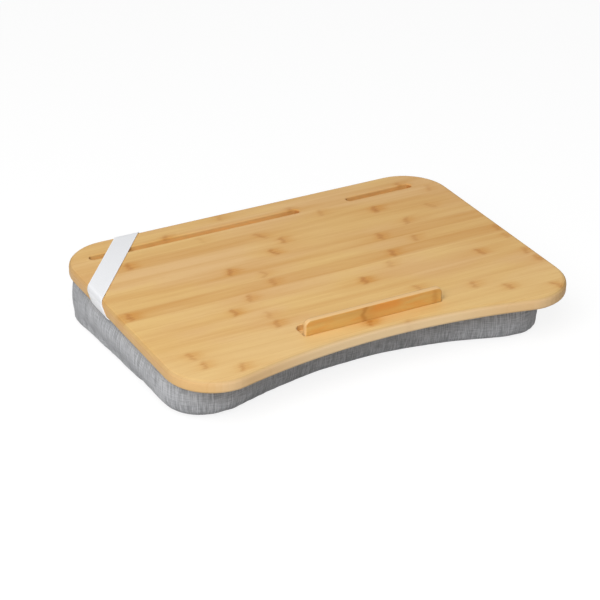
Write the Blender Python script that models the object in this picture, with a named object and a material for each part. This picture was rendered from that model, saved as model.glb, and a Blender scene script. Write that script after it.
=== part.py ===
"""Lap desk: a bamboo board with a fold-down stop bar and two slots, on a bead-filled cushion.

Units are metres, +Z is up, +X is to the user's right and +Y away from the user. The origin is the
centre of the footprint, on the surface that the cushion stands on.
"""
import math

import bmesh
import bpy
from mathutils import Matrix, Vector

# Gaps
GAP = 0.0003                     # between pieces that touch
OVERRUN = 0.002                  # how far a cutter passes the surface it opens

# Board
BOARD_WIDTH = 0.510
BOARD_DEPTH = 0.360
BOARD_THICKNESS = 0.015
BOARD_BACK_HEIGHT = 0.080        # top face above the table, at the back edge
BOARD_SLOPE = math.radians(2.0)  # falls towards the user
BOARD_FRONT_RADIUS = 0.057
BOARD_BACK_RADIUS = 0.058
BOARD_FRONT_SAG = 0.024          # how far the front edge curves in
BOARD_TOP_ROUND = 0.005          # rounding of the upper edge
BOARD_FOOT_ROUND = 0.003         # and of the lower one
BOARD_CORNER_STEPS = 12          # per quarter turn
BOARD_FRONT_STEPS = 36
BOARD_SIDE_STEPS = 1
EDGE_STEPS = 3

# Slots
POCKET_EDGE_ROUND = 0.0012       # eased upper edge of the slots and of the stop bar's recess
POCKET_EDGE_STEPS = 2
SLOT_WIDTH = 0.010
SLOT_DEPTH = 0.009
SLOT_SETBACK = 0.037             # centre line to the back edge
TABLET_SLOT_LENGTH = 0.280
TABLET_SLOT_X = -0.085
PHONE_SLOT_LENGTH = 0.094
PHONE_SLOT_X = 0.169
SLOT_END_STEPS = 6               # per quarter turn

# Stop bar and its hinge
BAR_LENGTH = 0.1768
BAR_THICKNESS = 0.007
BAR_RISE = 0.018                 # above the board's top face
BAR_SETBACK = 0.0472             # front face to the board's foremost line
BAR_CORNER_RADIUS = 0.0075
BAR_EDGE_ROUND = 0.002
BAR_CLEARANCE = 0.0004           # round the bar in its recess
BAR_CORNER_STEPS = 6
BAR_FOOT_STEPS = 10
RECESS_END_GAP = 0.001           # beyond each end of the bar
RECESS_FRONT_RADIUS = 0.003
RECESS_BACK_RADIUS = 0.009
RECESS_CORNER_STEPS = 6
PIN_RADIUS = 0.0015
PIN_IN_BAR = 0.010
PIN_IN_BOARD = 0.008
PIN_SIDES = 16

# Elastic strap across the back-left corner
STRAP_WIDTH = 0.0245
STRAP_THICKNESS = 0.0010
STRAP_ANGLE = math.radians(51.3) # from the X axis
STRAP_BACK_X = -0.1591           # where its centre line meets the back edge
STRAP_TAIL = 0.028               # length tucked under the board, square to the edge
STRAP_BEND_STEPS = 3

# Staples that hold the strap's ends
STAPLE_CROWN = 0.008
STAPLE_LEG = 0.006
STAPLE_WIRE = 0.0007
STAPLE_SPACING = 0.0105
STAPLE_INSET = 0.018             # from the board's edge

# Hook and loop strips between board and cushion
TAPE_LENGTH = 0.100
TAPE_WIDTH = 0.025
TAPE_THICKNESS = 0.0011
TAPE_CORNER_RADIUS = 0.003
TAPE_SIDE_SETBACK = 0.111        # cushion's side to a strip's middle
TAPE_FRONT_SETBACK = 0.115
TAPE_BACK_SETBACK = 0.075
TAPE_CORNER_STEPS = 3

# Cushion
CUSHION_LEFT_INSET = 0.0065      # from the board's edges
CUSHION_RIGHT_INSET = 0.0155
CUSHION_FRONT_INSET = 0.033
CUSHION_BACK_INSET = 0.008
CUSHION_FRONT_RADIUS = 0.055
CUSHION_BACK_RADIUS = 0.035
CUSHION_FRONT_SAG = 0.038
CUSHION_FOOT_ROUND = 0.013
CUSHION_TOP_ROUND = 0.009
CUSHION_BULGE = 0.0015           # how far the middle of the sides swells
COVER_THICKNESS = 0.0012
LINER_THICKNESS = 0.0008
CUSHION_CORNER_STEPS = 6         # per quarter turn
CUSHION_FRONT_STEPS = 16
CUSHION_SIDE_STEPS = 5
FOOT_ROUND_STEPS = 4
TOP_ROUND_STEPS = 3

# Worked out from the sizes above
BOARD_STEPS = (BOARD_CORNER_STEPS, BOARD_FRONT_STEPS, BOARD_SIDE_STEPS)
CUSHION_STEPS = (CUSHION_CORNER_STEPS, CUSHION_FRONT_STEPS, CUSHION_SIDE_STEPS)
STRAP_STAND = GAP + STRAP_THICKNESS
TAPE_STACK = 3 * GAP + 2 * TAPE_THICKNESS
TOP_BEND = BOARD_TOP_ROUND * math.pi / 2
FOOT_BEND = BOARD_FOOT_ROUND * math.pi / 2
SIDE_RUN = BOARD_THICKNESS - BOARD_TOP_ROUND - BOARD_FOOT_ROUND
SKIN_TO_UNDERSIDE = TOP_BEND + SIDE_RUN + FOOT_BEND
BOARD_X = STRAP_STAND / 2
BOARD_REACH = (BOARD_DEPTH + STRAP_STAND) * math.cos(BOARD_SLOPE) + BOARD_THICKNESS * math.sin(BOARD_SLOPE)
BOARD_Y = -BOARD_REACH / 2
BOARD_Z = BOARD_BACK_HEIGHT - BOARD_DEPTH * math.sin(BOARD_SLOPE)
PIVOT_Y = BAR_SETBACK + BAR_THICKNESS / 2
PIVOT_Z = -BAR_THICKNESS / 2
BAR_ABOVE_PIVOT = BAR_RISE + BAR_THICKNESS / 2
RECESS_FRONT = BAR_SETBACK - BAR_CLEARANCE
RECESS_BACK = PIVOT_Y + BAR_ABOVE_PIVOT + BAR_CLEARANCE
RECESS_DEPTH = BAR_THICKNESS + BAR_CLEARANCE
CUSHION_HALF_WIDTH = (BOARD_WIDTH - CUSHION_LEFT_INSET - CUSHION_RIGHT_INSET) / 2
CUSHION_X = (CUSHION_LEFT_INSET - CUSHION_RIGHT_INSET) / 2
CUSHION_DEPTH = BOARD_DEPTH - CUSHION_FRONT_INSET - CUSHION_BACK_INSET
LINER_OFFSET = COVER_THICKNESS + GAP
FILLING_OFFSET = LINER_OFFSET + LINER_THICKNESS + GAP


def plain_material(name, colour, roughness, metallic=0.0):
    """A single Principled material."""
    material = bpy.data.materials.new(name)
    material.use_nodes = True
    shader = material.node_tree.nodes["Principled BSDF"]
    shader.inputs["Base Color"].default_value = (*colour, 1.0)
    shader.inputs["Roughness"].default_value = roughness
    shader.inputs["Metallic"].default_value = metallic
    material.diffuse_color = (*colour, 1.0)
    return material


def add_object(name, mesh_data, material=None, parent=None, matrix=None):
    """Turn a bmesh into a named object."""
    bmesh.ops.recalc_face_normals(mesh_data, faces=mesh_data.faces)
    mesh = bpy.data.meshes.new(name)
    mesh_data.to_mesh(mesh)
    mesh_data.free()
    mesh.shade_smooth()
    mesh.set_sharp_from_angle(angle=math.radians(35))
    if material:
        mesh.materials.append(material)
    made = bpy.data.objects.new(name, mesh)
    bpy.context.scene.collection.objects.link(made)
    if parent:
        made.parent = parent
    if matrix:
        made.matrix_local = matrix
    return made


def add_empty(name, location, turn=0.0):
    """An empty that carries pieces, turned about X."""
    made = bpy.data.objects.new(name, None)
    bpy.context.scene.collection.objects.link(made)
    made.location = location
    made.rotation_euler = (turn, 0, 0)
    return made


def cut(piece, cutter):
    """Subtract a cutter, which stays in the file as a hidden guide."""
    cutter.hide_render = True
    cutter.display_type = "WIRE"
    modifier = piece.modifiers.new(cutter.name, "BOOLEAN")
    modifier.operation = "DIFFERENCE"
    modifier.solver = "EXACT"
    modifier.object = cutter


def arc(centre_x, centre_y, radius, start, end, steps):
    """Points along an arc, both ends included, angles in degrees."""
    points = []
    for step in range(steps + 1):
        angle = math.radians(start + (end - start) * step / steps)
        points.append((centre_x + radius * math.cos(angle), centre_y + radius * math.sin(angle)))
    return points


def desk_outline(half_width, depth, front_radius, back_radius, sag, inset, steps):
    """The desk's plan shape, drawn in by an inset: rounded corners and a front edge that curves in.

    The front curve is one arc that runs into both front corners. Every inset gives the same number
    of points, so outlines at several insets can be joined into a surface. The steps are those of a
    quarter turn, of the front curve and of each side.
    """
    corner_steps, front_steps, side_steps = steps
    reach = half_width - front_radius
    front_arc = (reach ** 2 + sag ** 2 - 2 * front_radius * sag) / (2 * sag)
    turn = math.degrees(math.atan2(reach, front_arc + front_radius - sag))
    back_reach = half_width - back_radius
    front_corner = front_radius - inset
    back_corner = back_radius - inset
    front_corner_steps = round(corner_steps * (90 + turn) / 90)
    front = arc(0, sag - front_arc, front_arc + inset, 90 + turn, 90 - turn, front_steps)
    side = depth - back_radius - front_radius
    heights = [front_radius + side * step / side_steps for step in range(1, side_steps)]
    points = front[1:]
    points += arc(reach, front_radius, front_corner, -90 - turn, 0, front_corner_steps)[1:]
    points += [(half_width - inset, y) for y in heights]
    points += arc(back_reach, depth - back_radius, back_corner, 0, 90, corner_steps)
    points += arc(-back_reach, depth - back_radius, back_corner, 90, 180, corner_steps)
    points += [(inset - half_width, y) for y in reversed(heights)]
    points += arc(-reach, front_radius, front_corner, 180, 270 + turn, front_corner_steps)
    return points


def join_rings(mesh_data, rings, closed=False):
    """Join rings of points by bands of faces; cap both ends unless the rings close on themselves."""
    rows = [[mesh_data.verts.new(point) for point in ring] for ring in rings]
    pairs = list(zip(rows, rows[1:]))
    if closed:
        pairs.append((rows[-1], rows[0]))
    for lower, upper in pairs:
        for index in range(len(lower)):
            after = (index + 1) % len(lower)
            mesh_data.faces.new((lower[index], lower[after], upper[after], upper[index]))
    if not closed:
        mesh_data.faces.new(list(reversed(rows[0])))
        mesh_data.faces.new(rows[-1])


def rounded_box(mesh_data, length, width, low, high, radius, steps, centre=(0.0, 0.0)):
    """A plate with rounded corners in plan, from low to high in Z."""
    x, y = length / 2 - radius, width / 2 - radius
    outline = arc(centre[0] + x, centre[1] - y, radius, -90, 0, steps)
    outline += arc(centre[0] + x, centre[1] + y, radius, 0, 90, steps)
    outline += arc(centre[0] - x, centre[1] + y, radius, 90, 180, steps)
    outline += arc(centre[0] - x, centre[1] - y, radius, 180, 270, steps)
    join_rings(mesh_data, [[(px, py, low) for px, py in outline], [(px, py, high) for px, py in outline]])


def slot_outline(length, centre_x, grow):
    """A slot with round ends in plan, grown all round, in line with the other along the back edge."""
    straight = length / 2 - SLOT_WIDTH / 2
    centre_y = BOARD_DEPTH - SLOT_SETBACK
    half_turn = 2 * SLOT_END_STEPS
    points = arc(centre_x + straight, centre_y, SLOT_WIDTH / 2 + grow, -90, 90, half_turn)
    return points + arc(centre_x - straight, centre_y, SLOT_WIDTH / 2 + grow, 90, 270, half_turn)


def recess_outline(grow):
    """The stop bar's recess in plan, grown all round: its back corners follow those of the folded bar."""
    half = BAR_LENGTH / 2 + RECESS_END_GAP
    steps = RECESS_CORNER_STEPS
    front_x, front_y = half - RECESS_FRONT_RADIUS, RECESS_FRONT + RECESS_FRONT_RADIUS
    back_x, back_y = half - RECESS_BACK_RADIUS, RECESS_BACK - RECESS_BACK_RADIUS
    points = arc(front_x, front_y, RECESS_FRONT_RADIUS + grow, -90, 0, steps)
    points += arc(back_x, back_y, RECESS_BACK_RADIUS + grow, 0, 90, steps)
    points += arc(-back_x, back_y, RECESS_BACK_RADIUS + grow, 90, 180, steps)
    return points + arc(-front_x, front_y, RECESS_FRONT_RADIUS + grow, 180, 270, steps)


def pocket_cutter(mesh_data, outline, depth):
    """A pocket in the board's top with upright walls and an eased upper edge.

    The outline is a function of how far the pocket's plan is grown.
    """
    levels = [(0.0, -depth)]
    for step in range(POCKET_EDGE_STEPS + 1):
        angle = math.radians(90 * step / POCKET_EDGE_STEPS)
        levels.append((POCKET_EDGE_ROUND * (1 - math.cos(angle)), POCKET_EDGE_ROUND * (math.sin(angle) - 1)))
    levels.append((POCKET_EDGE_ROUND, OVERRUN))
    join_rings(mesh_data, [[(x, y, z) for x, y in outline(grow)] for grow, z in levels])


def cylinder_along_x(mesh_data, radius, start_x, end_x, centre_y, centre_z):
    """A closed round bar from one X to another."""
    ring = arc(centre_y, centre_z, radius, 0, 360, PIN_SIDES)[:-1]
    join_rings(mesh_data, [[(x, y, z) for y, z in ring] for x in (start_x, end_x)])


def make_top_board(tray, material, leg_cutter):
    """The bamboo board: rounded edges, two slots, the stop bar's recess and its two pin holes."""
    angles = [math.radians(90 * step / EDGE_STEPS) for step in range(EDGE_STEPS + 1)]
    profile = []
    for angle in angles:
        drop = BOARD_FOOT_ROUND * (1 - math.cos(angle))
        profile.append((BOARD_FOOT_ROUND * (1 - math.sin(angle)), drop - BOARD_THICKNESS))
    for angle in reversed(angles):
        drop = BOARD_TOP_ROUND * (1 - math.cos(angle))
        profile.append((BOARD_TOP_ROUND * (1 - math.sin(angle)), -drop))
    rings = []
    for inset, z in profile:
        outline = desk_outline(BOARD_WIDTH / 2, BOARD_DEPTH, BOARD_FRONT_RADIUS, BOARD_BACK_RADIUS,
                               BOARD_FRONT_SAG, inset, BOARD_STEPS)
        rings.append([(x, y, z) for x, y in outline])
    body = bmesh.new()
    join_rings(body, rings)
    board = add_object("top_board", body, material, tray)

    pockets = bmesh.new()
    pocket_cutter(pockets, lambda grow: slot_outline(TABLET_SLOT_LENGTH, TABLET_SLOT_X, grow), SLOT_DEPTH)
    pocket_cutter(pockets, lambda grow: slot_outline(PHONE_SLOT_LENGTH, PHONE_SLOT_X, grow), SLOT_DEPTH)
    pocket_cutter(pockets, recess_outline, RECESS_DEPTH)
    cut(board, add_object("board_pocket_cutter", pockets, parent=tray))

    holes = bmesh.new()
    inner = BAR_LENGTH / 2
    outer = BAR_LENGTH / 2 + RECESS_END_GAP + PIN_IN_BOARD
    for side in (-1, 1):
        cylinder_along_x(holes, PIN_RADIUS + GAP, side * inner, side * outer, PIVOT_Y, PIVOT_Z)
    cut(board, add_object("board_pin_cutter", holes, parent=tray))
    cut(board, leg_cutter)
    return board


def bar_section(x, side_inset, drop):
    """One cross-section of the stop bar: half-round foot on the pivot, rounded upper edges."""
    half = BAR_THICKNESS / 2 - side_inset
    top = BAR_ABOVE_PIVOT - drop
    edge = BAR_EDGE_ROUND * 2 * half / BAR_THICKNESS
    points = arc(0, 0, half, 180, 360, BAR_FOOT_STEPS)
    points += arc(half - edge, top - edge, edge, 0, 90, EDGE_STEPS)
    points += arc(edge - half, top - edge, edge, 90, 180, EDGE_STEPS)
    return [(x, y, z) for y, z in points]


def make_stop_bar(hinge, material):
    """The stop bar, upright, with its pivot at its own origin."""
    stations = []
    for step in range(BAR_CORNER_STEPS + 1):
        angle = math.radians(90 * step / BAR_CORNER_STEPS)
        x = BAR_LENGTH / 2 - BAR_CORNER_RADIUS * (1 - math.sin(angle))
        drop = BAR_CORNER_RADIUS * (1 - math.cos(angle))
        past_edge = min(max(0.0, x - (BAR_LENGTH / 2 - BAR_EDGE_ROUND)), BAR_EDGE_ROUND)
        inset = BAR_EDGE_ROUND - math.sqrt(BAR_EDGE_ROUND ** 2 - past_edge ** 2)
        stations.append((x, inset, drop))
    rings = [bar_section(-x, inset, drop) for x, inset, drop in reversed(stations)]
    rings += [bar_section(x, inset, drop) for x, inset, drop in stations]
    body = bmesh.new()
    join_rings(body, rings)
    bar = add_object("stop_bar", body, material, hinge)
    bores = bmesh.new()
    for side in (-1, 1):
        inner = side * (BAR_LENGTH / 2 - PIN_IN_BAR - GAP)
        outer = side * (BAR_LENGTH / 2 + OVERRUN)
        cylinder_along_x(bores, PIN_RADIUS + GAP, inner, outer, 0, 0)
    cut(bar, add_object("bar_pin_cutter", bores, parent=hinge))
    return bar


def make_hinge_pins(hinge, material):
    """Two steel pins, each half in the bar and half in the board."""
    for name, side in (("hinge_pin_left", -1), ("hinge_pin_right", 1)):
        body = bmesh.new()
        inner = side * (BAR_LENGTH / 2 - PIN_IN_BAR)
        outer = side * (BAR_LENGTH / 2 + RECESS_END_GAP + PIN_IN_BOARD - GAP)
        cylinder_along_x(body, PIN_RADIUS, inner, outer, 0, 0)
        add_object(name, body, material, hinge)


def edge_path(length, offset):
    """Where a band wrapped round the board's edge lies: outward distance from the edge, and height.

    The length is measured along the board's skin from where its upper rounding starts; a negative
    one is still on top. The offset lifts the point off the skin.
    """
    if length <= 0:
        return length - BOARD_TOP_ROUND, offset
    if length <= TOP_BEND:
        angle = length / BOARD_TOP_ROUND
        reach = BOARD_TOP_ROUND + offset
        return reach * math.sin(angle) - BOARD_TOP_ROUND, reach * math.cos(angle) - BOARD_TOP_ROUND
    if length <= TOP_BEND + SIDE_RUN:
        return offset, -BOARD_TOP_ROUND - (length - TOP_BEND)
    if length <= SKIN_TO_UNDERSIDE:
        angle = (length - TOP_BEND - SIDE_RUN) / BOARD_FOOT_ROUND
        reach = BOARD_FOOT_ROUND + offset
        height = BOARD_FOOT_ROUND - BOARD_THICKNESS - reach * math.sin(angle)
        return reach * math.cos(angle) - BOARD_FOOT_ROUND, height
    return -BOARD_FOOT_ROUND - (length - SKIN_TO_UNDERSIDE), -BOARD_THICKNESS - offset


def edge_lengths():
    """Lengths along the skin at which the strap gets a row of points, from the top to its end."""
    shares = [step / STRAP_BEND_STEPS for step in range(STRAP_BEND_STEPS + 1)]
    lengths = [TOP_BEND * share for share in shares]
    lengths += [TOP_BEND + SIDE_RUN + FOOT_BEND * share for share in shares]
    return lengths + [SKIN_TO_UNDERSIDE + STRAP_TAIL - BOARD_FOOT_ROUND]


def strap_line(across):
    """A line along the strap: the direction square to it and its distance from the board's origin."""
    square = Vector((math.sin(STRAP_ANGLE), -math.cos(STRAP_ANGLE)))
    return square, square.dot(Vector((STRAP_BACK_X, BOARD_DEPTH))) + across


def strap_point_left(length, offset, across):
    """A point on the strap where it goes round the board's left edge."""
    square, distance = strap_line(across)
    out, z = edge_path(length, offset)
    unrolled_x = -(BOARD_WIDTH / 2 - BOARD_TOP_ROUND) - length
    y = (square.x * unrolled_x - distance) / -square.y
    return Vector((-BOARD_WIDTH / 2 - out, y, z))


def strap_point_back(length, offset, across):
    """A point on the strap where it goes round the board's back edge."""
    square, distance = strap_line(across)
    out, z = edge_path(length, offset)
    unrolled_y = BOARD_DEPTH - BOARD_TOP_ROUND + length
    x = (distance - square.y * unrolled_y) / square.x
    return Vector((x, BOARD_DEPTH + out, z))


def make_corner_strap(tray, material, leg_cutter):
    """The elastic strap: flat across the corner, round both edges and tucked under the board."""
    rings = []
    sections = [(strap_point_left, length) for length in reversed(edge_lengths())]
    sections += [(strap_point_back, length) for length in edge_lengths()]
    half = STRAP_WIDTH / 2
    for place, length in sections:
        corners = ((GAP, -half), (GAP, half), (STRAP_STAND, half), (STRAP_STAND, -half))
        rings.append([place(length, offset, across) for offset, across in corners])
    body = bmesh.new()
    join_rings(body, rings)
    strap = add_object("corner_strap", body, material, tray)
    cut(strap, leg_cutter)
    return strap


def staple_places():
    """Middle and crown direction of each staple, on the board's underside."""
    square, _ = strap_line(0.0)
    length = SKIN_TO_UNDERSIDE + STAPLE_INSET - BOARD_FOOT_ROUND
    left = strap_point_left(length, 0.0, 0.0)
    back = strap_point_back(length, 0.0, 0.0)
    across = Vector((square.x, -square.y, 0.0))
    places = []
    for middle in (left, back):
        for side in (-1, 1):
            places.append((middle + across * side * STAPLE_SPACING / 2, across))
    return places


def staple_matrix(middle, across):
    """Stand a staple on its place: X along the crown, Z up into the board."""
    up = Vector((0.0, 0.0, 1.0))
    matrix = Matrix((across, up.cross(across), up)).transposed().to_4x4()
    matrix.translation = middle
    return matrix


def make_leg_cutter(tray):
    """Square holes for the staples' legs, through the strap and into the board."""
    body = bmesh.new()
    half = STAPLE_WIRE / 2 + GAP
    leg = STAPLE_CROWN / 2 - STAPLE_WIRE / 2
    top = STAPLE_LEG - STRAP_STAND
    for middle, across in staple_places():
        matrix = staple_matrix(middle, across)
        for side in (-1, 1):
            corners = [(side * leg + x * half, y * half) for x, y in ((-1, -1), (1, -1), (1, 1), (-1, 1))]
            rings = [[matrix @ Vector((x, y, z)) for x, y in corners] for z in (-STRAP_STAND - GAP, top)]
            join_rings(body, rings)
    return add_object("staple_leg_cutter", body, parent=tray)


def make_staples(tray, material):
    """Wire staples: a crown under the strap and two legs up into the board."""
    half = STAPLE_CROWN / 2
    crown_top = -STRAP_STAND - GAP
    crown_low = crown_top - STAPLE_WIRE
    leg_top = crown_top + STAPLE_LEG
    outline = [(-half, crown_low), (half, crown_low), (half, leg_top), (half - STAPLE_WIRE, leg_top),
               (half - STAPLE_WIRE, crown_top), (STAPLE_WIRE - half, crown_top),
               (STAPLE_WIRE - half, leg_top), (-half, leg_top)]
    for number, (middle, across) in enumerate(staple_places(), start=1):
        body = bmesh.new()
        rings = [[(x, y, z) for x, z in outline] for y in (-STAPLE_WIRE / 2, STAPLE_WIRE / 2)]
        join_rings(body, rings)
        add_object(f"strap_staple_{number}", body, material, tray, staple_matrix(middle, across))


def make_tapes(tray, seat, hook_material, loop_material):
    """Four pairs of strips: hook side on the board, loop side on the cushion."""
    hook_top = -BOARD_THICKNESS - GAP
    loop_top = hook_top - TAPE_THICKNESS - GAP
    number = 0
    for y in (TAPE_FRONT_SETBACK, BOARD_DEPTH - TAPE_BACK_SETBACK):
        for side in (-1, 1):
            number += 1
            place = (CUSHION_X + side * (CUSHION_HALF_WIDTH - TAPE_SIDE_SETBACK), y)
            for name, top, parent, material in (("hook_tape", hook_top, tray, hook_material),
                                                ("loop_tape", loop_top, seat, loop_material)):
                body = bmesh.new()
                rounded_box(body, TAPE_LENGTH, TAPE_WIDTH, top - TAPE_THICKNESS, top,
                            TAPE_CORNER_RADIUS, TAPE_CORNER_STEPS, place)
                add_object(f"{name}_{number}", body, material, parent)


def cushion_height(y):
    """Height of the cushion's flat top at a depth Y: it lies along the board's underside."""
    rise = math.tan(BOARD_SLOPE) * (y - BOARD_Y)
    return BOARD_Z + rise - (BOARD_THICKNESS + TAPE_STACK) / math.cos(BOARD_SLOPE)


def cushion_ring(inset, height, share):
    """One ring round the cushion: its height is a length plus a share of the local full height."""
    outline = desk_outline(CUSHION_HALF_WIDTH, CUSHION_DEPTH, CUSHION_FRONT_RADIUS, CUSHION_BACK_RADIUS,
                           CUSHION_FRONT_SAG, inset, CUSHION_STEPS)
    ring = []
    for x, y in outline:
        place_y = BOARD_Y + CUSHION_FRONT_INSET + y
        ring.append((BOARD_X + CUSHION_X + x, place_y, height + share * cushion_height(place_y)))
    return ring


def lower_rings(offset):
    """Rings up the cushion's rounded foot, at a depth below its skin."""
    rings = []
    radius = CUSHION_FOOT_ROUND
    for step in range(FOOT_ROUND_STEPS + 1):
        angle = math.radians(90 * step / FOOT_ROUND_STEPS)
        inset = radius - (radius - offset) * math.sin(angle)
        rings.append(cushion_ring(inset, radius - (radius - offset) * math.cos(angle), 0))
    return rings


def middle_ring(offset, lift=0.0):
    """The ring at half height, where the sides swell most."""
    return cushion_ring(offset - CUSHION_BULGE, lift, 0.5)


def upper_rings(offset):
    """Rings over the cushion's rounded upper edge, from the side to the flat top."""
    rings = []
    radius = CUSHION_TOP_ROUND
    for step in range(TOP_ROUND_STEPS, -1, -1):
        angle = math.radians(90 * step / TOP_ROUND_STEPS)
        inset = radius - (radius - offset) * math.sin(angle)
        rings.append(cushion_ring(inset, (radius - offset) * math.cos(angle) - radius, 1))
    return rings


def make_cover(material):
    """The sewn cover: a band round the sides between a top and a bottom panel."""
    band = bmesh.new()
    outside = lower_rings(0) + [middle_ring(0)] + upper_rings(0)
    inside = lower_rings(COVER_THICKNESS) + [middle_ring(COVER_THICKNESS)] + upper_rings(COVER_THICKNESS)
    join_rings(band, outside + list(reversed(inside)), closed=True)
    add_object("cover_side_band", band, material)

    top = bmesh.new()
    inset = CUSHION_TOP_ROUND + GAP
    join_rings(top, [cushion_ring(inset, -COVER_THICKNESS, 1), cushion_ring(inset, 0, 1)])
    add_object("cover_top_panel", top, material)

    bottom = bmesh.new()
    inset = CUSHION_FOOT_ROUND + GAP
    join_rings(bottom, [cushion_ring(inset, 0, 0), cushion_ring(inset, COVER_THICKNESS, 0)])
    add_object("cover_bottom_panel", bottom, material)


def make_liner(material):
    """The inner bag, an upper and a lower half that meet at half height."""
    inner = LINER_OFFSET + LINER_THICKNESS
    lower = bmesh.new()
    outside = lower_rings(LINER_OFFSET) + [middle_ring(LINER_OFFSET, -GAP / 2)]
    inside = lower_rings(inner) + [middle_ring(inner, -GAP / 2)]
    join_rings(lower, outside + list(reversed(inside)))
    add_object("liner_lower", lower, material)
    upper = bmesh.new()
    outside = [middle_ring(LINER_OFFSET, GAP / 2)] + upper_rings(LINER_OFFSET)
    inside = [middle_ring(inner, GAP / 2)] + upper_rings(inner)
    join_rings(upper, list(reversed(outside)) + inside)
    add_object("liner_upper", upper, material)


def make_filling(material):
    """The bead filling, as one soft body that fills the liner."""
    body = bmesh.new()
    rings = lower_rings(FILLING_OFFSET) + [middle_ring(FILLING_OFFSET)] + upper_rings(FILLING_OFFSET)
    join_rings(body, rings)
    add_object("bead_filling", body, material)


def make_lap_desk():
    """Build every piece of the lap desk."""
    bamboo = plain_material("bamboo", (0.69, 0.46, 0.20), 0.45)
    bar_bamboo = plain_material("bar_bamboo", (0.63, 0.37, 0.13), 0.45)
    steel = plain_material("steel", (0.62, 0.62, 0.64), 0.30, 1.0)
    elastic = plain_material("white_elastic", (0.80, 0.80, 0.82), 0.80)
    fabric = plain_material("grey_fabric", (0.24, 0.24, 0.25), 0.92)
    hook = plain_material("hook_strip", (0.05, 0.05, 0.05), 0.85)
    loop = plain_material("loop_strip", (0.09, 0.09, 0.09), 0.95)
    liner = plain_material("liner_cloth", (0.82, 0.82, 0.80), 0.90)
    beads = plain_material("foam_beads", (0.88, 0.88, 0.88), 0.70)

    tray = add_empty("tray_frame", (BOARD_X, BOARD_Y, BOARD_Z), BOARD_SLOPE)
    seat = add_empty("cushion_top_frame", (BOARD_X, BOARD_Y, BOARD_Z), BOARD_SLOPE)
    hinge = add_empty("bar_hinge", (0, PIVOT_Y, PIVOT_Z))
    hinge.parent = tray

    leg_cutter = make_leg_cutter(tray)
    make_top_board(tray, bamboo, leg_cutter)
    make_stop_bar(hinge, bar_bamboo)
    make_hinge_pins(hinge, steel)
    make_corner_strap(tray, elastic, leg_cutter)
    make_staples(tray, steel)
    make_tapes(tray, seat, hook, loop)
    make_cover(fabric)
    make_liner(liner)
    make_filling(beads)


for leftover in list(bpy.data.objects):
    bpy.data.objects.remove(leftover, do_unlink=True)
make_lap_desk()
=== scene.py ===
import math

import bpy
import numpy as np
from mathutils import Matrix, Vector, kdtree, noise


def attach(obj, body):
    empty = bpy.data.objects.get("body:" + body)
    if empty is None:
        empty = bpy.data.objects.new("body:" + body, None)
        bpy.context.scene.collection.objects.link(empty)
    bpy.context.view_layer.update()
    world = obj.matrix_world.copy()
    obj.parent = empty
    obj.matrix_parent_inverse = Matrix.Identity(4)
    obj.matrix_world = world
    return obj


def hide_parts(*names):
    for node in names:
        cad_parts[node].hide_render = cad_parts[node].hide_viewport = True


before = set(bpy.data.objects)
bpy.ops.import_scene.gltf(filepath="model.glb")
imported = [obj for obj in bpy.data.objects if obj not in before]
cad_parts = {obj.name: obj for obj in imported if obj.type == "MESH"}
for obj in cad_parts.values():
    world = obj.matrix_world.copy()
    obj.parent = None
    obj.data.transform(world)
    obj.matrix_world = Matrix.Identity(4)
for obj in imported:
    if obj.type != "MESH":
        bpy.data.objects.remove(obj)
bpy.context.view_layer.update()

# The cushion: foam beads in a thin liner, inside a sewn cover of grey melange cloth with a band round
# its sides. It lies flat on the table and against the board, and the band swells between the seams.
BOARD_PLACE = Vector((0.00065, -0.1808017, 0.0674362))  # middle of the board's front, on its top face
BOARD_SLOPE = math.radians(2.0)
BOARD_THICKNESS = 0.015
CUSHION_GAP = 0.0031             # between board and cushion: two strips and their running gaps
CUSHION_MIDDLE = -0.00385        # across
CUSHION_FRONT = -0.1478017       # its foremost line
CUSHION_HALF_WIDTH = 0.244
CUSHION_DEPTH = 0.319
CUSHION_FRONT_RADIUS = 0.055
CUSHION_BACK_RADIUS = 0.035
CUSHION_FRONT_SAG = 0.038
FOOT_SEAM_INSET = 0.013          # from the band's side to the seam of the bottom panel
TOP_SEAM_INSET = 0.009
OUTLINE_STEP = 0.0005
FOOT_FULLNESS = 14.0             # of the foot at the sides and back, where 2 is a plain round
FOOT_SPREAD = 0.0012             # how far the foot spreads there
LEFT_FILL_FROM = 0.115           # the left foot fills out behind here, from the cushion's front
LEFT_FILL_FADE = 0.050
RIGHT_FILL_TURN = 0.3            # and the right one as the outline turns this far from facing front
LEFT_BULGE = 0.0034              # further swelling of the left side's foot
LEFT_BULGE_AT = 0.228            # from the cushion's front
LEFT_BULGE_REACH = 0.052
FRONT_SPREAD = 0.0021            # how far the front's foot spreads, away from the corners
FRONT_SPREAD_FROM_TO = (-0.085, 0.170)
FRONT_SPREAD_FADE = 0.040
FRONT_SLACK = 0.0044             # how far the front-left foot is drawn in
SLACK_FROM_TO = (-0.200, -0.152)
SLACK_ROW = -0.145
SLACK_REACH = 0.046
# Smaller places where it is drawn in further: across, back, reach and depth.
SLACK_SPOTS = ((-0.247, -0.084, 0.030, 0.0030), (-0.172, -0.137, 0.022, 0.0060))
BEAD_CELL = 0.005                # remeshing, and so the size of the smallest fold
COVER_START = 0.0017             # the simulated skin starts this far outside the beads
COVER_CAP = 0.0045               # and moves this far at most
CLOTH_FRAMES = 20
SEAM_HOLD = 0.6                  # how firmly a seam is held in the simulation, where 1 is fixed
BAND_DENT = 0.0005               # depth of the soft dents that beads leave in the band
DENTS_PER_METRE = (22, 55)       # broad ones and fine ones


def srgb(red, green, blue):
    """A colour given in 0 to 255, as linear values."""
    shares = (value / 255 for value in (red, green, blue))
    return tuple(s / 12.92 if s <= 0.04045 else ((s + 0.055) / 1.055) ** 2.4 for s in shares)


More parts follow.
